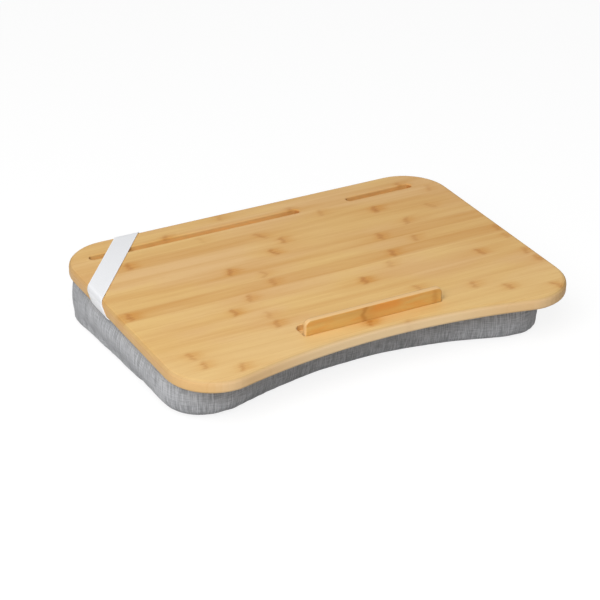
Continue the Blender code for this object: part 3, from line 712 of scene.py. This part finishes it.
wood = blend_colour(tree, times(tree, grain["Flecks"], 0.35), wood, BAMBOO_DARK)
pale = times(tree, fade(tree, board_y, *PALE_TO, 1.0, 0.0), fade(tree, board_x, *PALE_ACROSS, 0.26, 0.06))
wood = blend_colour(tree, pale, wood, BAMBOO_PALE)
off_line = apart(tree, calc(tree, "FRACT", calc(tree, "ADD", pitches, 0.5)), 0.5)
wood = blend_colour(tree, fade(tree, off_line, *GLUE_LINE_WIDTHS, 0.45, 0.0), wood, BAMBOO_DARK)

bent = bent_places(tree, board_place, (35.0, 130.0, 35.0), NODE_BEND)
core_share, halo_share = 0.0, 0.0
for across_mm, strip, strength, lean in BAMBOO_NODES:
    mark = use_group(tree, bamboo_node, {
        "Place": bent, "Across": across_mm / 1000, "Back": GLUE_LINE_FIRST + (strip + 0.5) * STRIP_PITCH,
        "Strength": strength, "Lean": lean})
    core_share = calc(tree, "MAXIMUM", mark["Core"], core_share)
    halo_share = calc(tree, "MAXIMUM", mark["Halo"], halo_share)
streaky = fade(tree, grain["Fibres"], 0.3, 0.6, 0.35, 1.0)
wood = blend_colour(tree, times(tree, halo_share, streaky), wood, BAMBOO_HALO)
wood = blend_colour(tree, times(tree, core_share, streaky, 0.8), wood, BAMBOO_CORE)

# The sides of the board and the insides of its slots show other faces of the strips than the top does.
facing = facing_parts(tree)
below_top = fade(tree, board_z, *EDGE_BELOW, 1.0, 0.0)
inside = times(tree, fade(tree, calc(tree, "ABSOLUTE", board_x), *POCKETS_SIDE, 1.0, 0.0),
               fade(tree, board_y, *POCKETS_BACK, 1.0, 0.0), fade(tree, board_y, *POCKETS_FRONT),
               fade(tree, board_z, *POCKETS_FLOOR))
outside = less(tree, 1.0, inside)
end_grain = fade(tree, calc(tree, "ABSOLUTE", facing[0]), 0.05, 0.6)
# The long edges are paler partly as the strips' side faces and partly by painted sheen.
fore_share = fade(tree, board_y, *FORE_EDGE_TO, 1.0, 0.0)
long_edge_and_sheen = blend_colour(tree, fore_share, BAMBOO_LONG_EDGE_AND_SHEEN, BAMBOO_FORE_EDGE_AND_SHEEN)
edge_and_sheen_colour = blend_colour(tree, end_grain, long_edge_and_sheen, BAMBOO_END_GRAIN)
wood = blend_colour(tree, times(tree, below_top, outside, 0.7), wood, edge_and_sheen_colour)
pocket_share = times(tree, fade(tree, board_z, *POCKET_BELOW, 1.0, 0.0), inside,
                     fade(tree, facing[2], 0.7, 0.95, 1.0, 0.3))
in_slots = fade(tree, board_y, *SLOTS_FROM)
pocket_noise = stretched_noise(tree, board_place, (16.0, 30.0, 30.0), 2.0, shift=(2.0, 0.0, 5.0))
pocket_tone = times(tree, fade(tree, pocket_noise, 0.4, 0.62), in_slots)
pocket_colour = blend_colour(tree, pocket_tone, BAMBOO_POCKET, BAMBOO_POCKET_SHADE)
wood = blend_colour(tree, times(tree, pocket_share, 0.8), wood, pocket_colour)
# Painted shade: the slots' end walls are darkened well below the board's own end grain.
slot_end_shade = times(tree, end_grain, pocket_share, in_slots, 0.9)
wood = blend_colour(tree, slot_end_shade, wood, BAMBOO_SLOT_END_SHADE)
rounding = times(tree, fade(tree, facing[2], 0.999, 0.90), fade(tree, facing[2], 0.0, 0.5), outside)
# Painted shade: the top's rounded edges are darkened, which tones down the light they catch.
wood = blend_colour(tree, rounding, wood, BAMBOO_RIM_SHADE, "MULTIPLY")
gloss = weighted_sum(tree, (grain["Streaks"], 0.16), (rounding, 0.25), start=LACQUER_ROUGHNESS)
relief = weighted_sum(tree, (grain["Streaks"], 0.6), start=grain["Fibres"])
feed(tree, shader, wood, gloss, relief, depth=0.00006, strength=0.5)
wear(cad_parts["top_board"], board_finish)

# The stop bar: one strip of warmer bamboo with rounded upper corners, which folds back on two pins
# into the board's recess.
BAR_LIGHT = srgb(224, 184, 108)
BAR_DARK = srgb(201, 149, 76)
# partly the cut faces' paler colour, partly a painted highlight
BAR_EDGE_AND_HIGHLIGHT = srgb(218, 180, 126)
# painted shade for the rounding along the bar's back top edge
BAR_BACK_ROUND_SHADE = srgb(150, 112, 62)
BAR_WARM = srgb(222, 142, 58)
BAR_WARM_AT = 0.014              # middle of its warm patch, from the middle of the board
BAR_WARM_WIDTHS = (0.010, 0.030)     # from there to where it fades
BAR_NODE_BEND = 0.012
BAR_MIDDLE = 0.0507              # middle of its thickness, from the board's foremost line
BAR_NODES = ((-0.012, 1.0), (0.079, 0.6))    # place along the bar, and strength

bar_finish, tree, shader = new_finish("bamboo_bar", specular_ior_level=0.35)
bar_place = place_on_board(tree)
grain = use_group(tree, bamboo_grain, {"Place": bar_place})
shade = weighted_sum(tree, (grain["Streaks"], 1.3), (grain["Fibres"], 0.5), start=-0.45, clamp=True)
wood = blend_colour(tree, shade, BAR_LIGHT, BAR_DARK)
facing = facing_parts(tree)
turned_away = calc(tree, "MAXIMUM", facing[2], calc(tree, "ABSOLUTE", facing[0]))
# The bar's top and ends are paler: partly its cut faces, partly a painted highlight.
wood = blend_colour(tree, fade(tree, turned_away, 0.2, 0.7), wood, BAR_EDGE_AND_HIGHLIGHT)
# Painted shade: the rounding along the bar's back top edge is darkened.
back_round_shade = times(tree, fade(tree, facing[1], 0.0, 0.3), fade(tree, facing[1], 0.6, 0.9, 0.7, 0.0))
wood = blend_colour(tree, back_round_shade, wood, BAR_BACK_ROUND_SHADE)
bent = bent_places(tree, bar_place, (35.0, 35.0, 130.0), BAR_NODE_BEND)
off_patch = apart(tree, axes_of(tree, bent)[0], BAR_WARM_AT)
up_bar = fade(tree, axes_of(tree, bar_place)[2], 0.004, 0.012, 0.3, 1.0)
warm = times(tree, fade(tree, off_patch, *BAR_WARM_WIDTHS, 0.75, 0.0), up_bar)
mottle = fade(tree, stretched_noise(tree, bar_place, (26.0, 90.0, 170.0), 3.0), 0.42, 0.64, 0.0, 0.35)
on_face = fade(tree, turned_away, 0.2, 0.6, 1.0, 0.0)
warm = times(tree, calc(tree, "MAXIMUM", warm, mottle), on_face)
wood = blend_colour(tree, warm, wood, BAR_WARM)
for across, strength in BAR_NODES:
    mark = use_group(tree, bamboo_node, {"Place": bent, "Across": across, "Back": BAR_MIDDLE,
                                         "Strength": strength, "Lean": 0.5})
    wood = blend_colour(tree, times(tree, mark["Halo"], on_face, 0.3), wood, BAMBOO_HALO)
    wood = blend_colour(tree, times(tree, mark["Core"], on_face, 0.5), wood, BAMBOO_CORE)
gloss = weighted_sum(tree, (grain["Streaks"], 0.16), start=LACQUER_ROUGHNESS)
feed(tree, shader, wood, gloss, grain["Fibres"], depth=0.00006, strength=0.5)
wear(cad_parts["stop_bar"], bar_finish)

# The hinge pins: two short lengths of drawn steel wire, pressed into the board's recess ends, that the
# bar turns on.
drawn_wire, entry, leave = new_group("drawn_wire", [("Place", "Vector")],
                                     [("Shade", "Float"), ("Rubbed", "Float")])
lines = stretched_noise(drawn_wire, entry["Place"], (120.0, 3000.0, 3000.0), 2.0)
drawn_wire.links.new(lines, leave["Shade"])
drawn_wire.links.new(fade(drawn_wire, lines, 0.3, 0.7, 0.24, 0.42), leave["Rubbed"])
steel, tree, shader = new_finish("steel_wire", metallic=1.0)
drawn = use_group(tree, drawn_wire, {"Place": piece_place(tree)})
steel_colour = blend_colour(tree, drawn["Shade"], srgb(168, 170, 174), srgb(212, 213, 216))
feed(tree, shader, steel_colour, drawn["Rubbed"])
for side in ("left", "right"):
    wear(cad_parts[f"hinge_pin_{side}"], steel)

# The hook strips: the stiff half of the fastening, four black strips of nylon hooks, glued under the
# board in line with the loop strips, which they hold on to.
hook_finish = strip_finish("hook_field", srgb(14, 14, 15), srgb(50, 50, 53), 0.0004, 1.0,
                           roughness=0.6, specular_ior_level=0.4)
for number in range(1, 5):
    wear(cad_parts[f"hook_tape_{number}"], hook_finish)

# The corner strap: flat white woven elastic with a firm selvedge, pulled across the back-left corner,
# wrapped round both edges and stapled under the board.
STRAP_WIDTH = 0.0245
STRAP_THICKNESS = 0.0010
STRAP_LIFT = 0.0008              # middle of its thickness above the board's skin
STRAP_ANGLE = math.radians(51.3)
STRAP_BACK_X = -0.1591
STRAP_TAIL = 0.028
STRAP_EDGE_ROUND = 0.00028
BOARD_HALF_WIDTH = 0.255
BOARD_DEPTH = 0.360
BOARD_TOP_ROUND = 0.005
BOARD_FOOT_ROUND = 0.003
WRAP_STEPS = 5
ACROSS_STEPS = 8
RIB_PITCH = 0.0011
CORD_PITCH = 0.0016
SELVEDGE = (0.0103, 0.0111)      # from the strap's middle line to where its selvedge starts
ELASTIC_DARK = srgb(226, 227, 230)
ELASTIC_LIGHT = srgb(244, 245, 247)
# painted light for the strap's upright parts
ELASTIC_SIDE_LIGHT = srgb(253, 253, 254)
# painted shade for the strap's bends
ELASTIC_BEND_SHADE = (0.87, 0.87, 0.87)
TOP_BEND = BOARD_TOP_ROUND * math.pi / 2
SIDE_END = TOP_BEND + BOARD_THICKNESS - BOARD_TOP_ROUND - BOARD_FOOT_ROUND
WRAP_END = SIDE_END + BOARD_FOOT_ROUND * math.pi / 2


def skin_place(length):
    """Outward distance from the board's edge, and height, of a band laid round the edge."""
    if length <= TOP_BEND:
        angle, reach = length / BOARD_TOP_ROUND, BOARD_TOP_ROUND + STRAP_LIFT
        return reach * math.sin(angle) - BOARD_TOP_ROUND, reach * math.cos(angle) - BOARD_TOP_ROUND
    if length <= SIDE_END:
        return STRAP_LIFT, TOP_BEND - BOARD_TOP_ROUND - length
    if length <= WRAP_END:
        angle, reach = (length - SIDE_END) / BOARD_FOOT_ROUND, BOARD_FOOT_ROUND + STRAP_LIFT
        height = BOARD_FOOT_ROUND - BOARD_THICKNESS - reach * math.sin(angle)
        return reach * math.cos(angle) - BOARD_FOOT_ROUND, height
    return WRAP_END - BOARD_FOOT_ROUND - length, -BOARD_THICKNESS - STRAP_LIFT


def strap_point(edge, length, across):
    """A point of the strap as it goes round the left or the back edge, and its place on the webbing."""
    square = (math.sin(STRAP_ANGLE), -math.cos(STRAP_ANGLE))
    distance = square[0] * STRAP_BACK_X + square[1] * BOARD_DEPTH + across
    out, height = skin_place(length)
    if edge == "left":
        unrolled_x = BOARD_TOP_ROUND - BOARD_HALF_WIDTH - length
        unrolled_y = (distance - square[0] * unrolled_x) / square[1]
        point = (-BOARD_HALF_WIDTH - out, unrolled_y, height)
    else:
        unrolled_y = BOARD_DEPTH - BOARD_TOP_ROUND + length
        unrolled_x = (distance - square[1] * unrolled_y) / square[0]
        point = (unrolled_x, BOARD_DEPTH + out, height)
    return point, (across, unrolled_x * math.cos(STRAP_ANGLE) + unrolled_y * math.sin(STRAP_ANGLE))


shares = np.linspace(0, 1, WRAP_STEPS + 1)
wrap_lengths = [*(shares * TOP_BEND), *(SIDE_END + shares * (WRAP_END - SIDE_END)),
                WRAP_END + STRAP_TAIL - BOARD_FOOT_ROUND]
sections = [("left", length) for length in reversed(wrap_lengths)]
sections += [("back", length) for length in wrap_lengths]
bpy.ops.object.select_all(action="DESELECT")
bpy.ops.mesh.primitive_grid_add(x_subdivisions=len(sections) - 1, y_subdivisions=ACROSS_STEPS, size=1.0)
strap = bpy.context.active_object
strap.name = strap.data.name = "corner_strap_webbing"
flat = vertex_places(strap.data)
section_of = np.rint((flat[:, 0] + 0.5) * (len(sections) - 1)).astype(int)
laid = [strap_point(*sections[index], STRAP_WIDTH * share) for index, share in zip(section_of, flat[:, 1])]
strap.data.vertices.foreach_set("co", on_board([point for point, _ in laid]).ravel())
webbing_map = strap.data.uv_layers.new(name="webbing")
for corner in strap.data.loops:
    webbing_map.data[corner.index].uv = laid[corner.vertex_index][1]
thicken = strap.modifiers.new("thicken", "SOLIDIFY")
thicken.thickness, thicken.offset = STRAP_THICKNESS, 0.0
soften = strap.modifiers.new("soften", "BEVEL")
soften.width, soften.segments, soften.limit_method = STRAP_EDGE_ROUND, 2, "ANGLE"
soften.angle_limit = math.radians(60)
apply_modifiers(strap)
bpy.ops.object.mode_set(mode="EDIT")
bpy.ops.mesh.select_all(action="SELECT")
bpy.ops.mesh.normals_make_consistent(inside=False)
bpy.ops.object.mode_set(mode="OBJECT")
bpy.ops.object.shade_smooth_by_angle(angle=math.radians(40))

elastic, tree, shader = new_finish("white_elastic", roughness=0.8, sheen_weight=0.1)
cloth = put(tree, "UVMap", {"uv_map": "webbing"}).outputs[0]
threads = axes_of(tree, cloth)
fuzz = stretched_noise(tree, cloth, (500.0, 900.0, 1.0), 3.0)
ribs = calc(tree, "SINE", weighted_sum(tree, (threads[1], 2 * math.pi / RIB_PITCH), (fuzz, 1.5)))
cords = calc(tree, "SINE", times(tree, threads[0], 2 * math.pi / CORD_PITCH))
knit = weighted_sum(tree, (ribs, 0.5), (cords, 0.3))
selvedge = fade(tree, calc(tree, "ABSOLUTE", threads[0]), *SELVEDGE)
knit_shade = fade(tree, knit, -0.8, 0.8, 0.0, 0.7)
weave_shade = weighted_sum(tree, (selvedge, 0.3), start=knit_shade, clamp=True)
white = blend_colour(tree, weave_shade, ELASTIC_DARK, ELASTIC_LIGHT)
facing = facing_parts(tree)
# Painted shade: where the strap bends over the board's edges it is darkened, which tones down the light on
# the bend.
bend_shade = times(tree, fade(tree, facing[2], 0.97, 0.75), fade(tree, facing[2], 0.15, 0.5))
white = blend_colour(tree, bend_shade, white, ELASTIC_BEND_SHADE, "MULTIPLY")
# Painted light: the strap's upright parts, down the board's sides, are lightened against their shade.
side_light = fade(tree, calc(tree, "ABSOLUTE", facing[2]), 0.4, 0.1, 0.0, 0.7)
white = blend_colour(tree, side_light, white, ELASTIC_SIDE_LIGHT)
feed(tree, shader, white, height=calc(tree, "ADD", knit, fuzz), depth=0.00012, strength=0.5)
wear(strap, elastic)
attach(strap, "tray")
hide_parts("corner_strap")

# The staples: two bent from round steel wire at each end of the strap, driven up through it into the
# board's underside.
for number in range(1, 5):
    wear(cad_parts[f"strap_staple_{number}"], steel)

# Camera, floor, walls and lamp, as in a plain studio: one large soft lamp at the front left, and a
# pale room round it.
CAMERA_TARGET = Vector((-0.02382, -0.00506, 0.0405))
CAMERA_AZIMUTH = math.radians(-28.856)
CAMERA_ELEVATION = math.radians(26.978)
CAMERA_DISTANCE = 2.43237
CAMERA_LENS = 125.325
toward_camera = Vector((math.sin(CAMERA_AZIMUTH) * math.cos(CAMERA_ELEVATION),
                        -math.cos(CAMERA_AZIMUTH) * math.cos(CAMERA_ELEVATION), math.sin(CAMERA_ELEVATION)))
camera = bpy.data.objects.new("camera", bpy.data.cameras.new("camera"))
camera.data.lens, camera.data.sensor_width = CAMERA_LENS, 36.0
camera.location = CAMERA_TARGET + toward_camera * CAMERA_DISTANCE
camera.rotation_euler = toward_camera.to_track_quat("Z", "Y").to_euler()
bpy.context.scene.collection.objects.link(camera)
bpy.context.scene.camera = camera
bpy.context.scene.view_settings.view_transform = "Standard"

LAMP_DIRECTION = Vector((-0.52, -0.51, 0.68)).normalized()
LAMP_DISTANCE = 3.0
LAMP_SIZE = 2.2
LAMP_POWER = 92.0
CEILING_STRENGTH = 0.42
WALL_STRENGTH = 0.19
FLOOR_SIZE = 8.0
FLOOR_DROP = 0.0004              # below the cushion, so the two faces don't meet
FLOOR_AS_LIT = (0.36, 0.36, 0.36)    # for light that it throws back on the pieces
FLOOR_AS_SEEN = (0.18, 0.18, 0.18)
FLOOR_GLOW = 0.85                # added where it is seen, which makes it nearly white
lamp = bpy.data.objects.new("lamp", bpy.data.lights.new("lamp", "AREA"))
lamp.data.energy, lamp.data.size = LAMP_POWER, LAMP_SIZE
lamp.location = LAMP_DIRECTION * LAMP_DISTANCE
lamp.rotation_euler = LAMP_DIRECTION.to_track_quat("Z", "Y").to_euler()
bpy.context.scene.collection.objects.link(lamp)


def seen_straight(tree):
    """1 for rays from the camera, and for those that gloss or glass shows."""
    rays = put(tree, "LightPath").outputs
    shown = calc(tree, "MAXIMUM", rays["Is Camera Ray"], rays["Is Glossy Ray"])
    return calc(tree, "MAXIMUM", shown, rays["Is Transmission Ray"])


room = bpy.data.worlds.new("room")
room.use_nodes = True
bpy.context.scene.world = room
walls = room.node_tree.nodes["Background"]
walls.inputs["Color"].default_value = (1.0, 1.0, 1.0, 1.0)
tree = room.node_tree
ray_height = axes_of(tree, put(tree, "TexCoord").outputs["Generated"])[2]
room_glow = fade(tree, ray_height, 0.0, 1.0, WALL_STRENGTH, CEILING_STRENGTH)
tree.links.new(fade(tree, seen_straight(tree), 0.0, 1.0, room_glow, 1.0), walls.inputs["Strength"])

bpy.ops.object.select_all(action="DESELECT")
bpy.ops.mesh.primitive_plane_add(size=FLOOR_SIZE, location=(0, 0, -FLOOR_DROP))
floor = bpy.context.active_object
floor.name = floor.data.name = "floor"
pick(floor)
bpy.ops.object.transform_apply(location=True)
floor_finish = bpy.data.materials.new("pale_floor")
floor_finish.use_nodes = True
tree = floor_finish.node_tree
tree.nodes.remove(tree.nodes["Principled BSDF"])
straight = seen_straight(tree)
dull = put(tree, "BsdfDiffuse", None, {"Color": blend_colour(tree, straight, FLOOR_AS_LIT, FLOOR_AS_SEEN)})
glow = put(tree, "Emission", None, {"Strength": times(tree, straight, FLOOR_GLOW)})
both = put(tree, "AddShader", None, {0: dull.outputs[0], 1: glow.outputs[0]})
tree.links.new(both.outputs[0], tree.nodes["Material Output"].inputs["Surface"])
wear(floor, floor_finish)
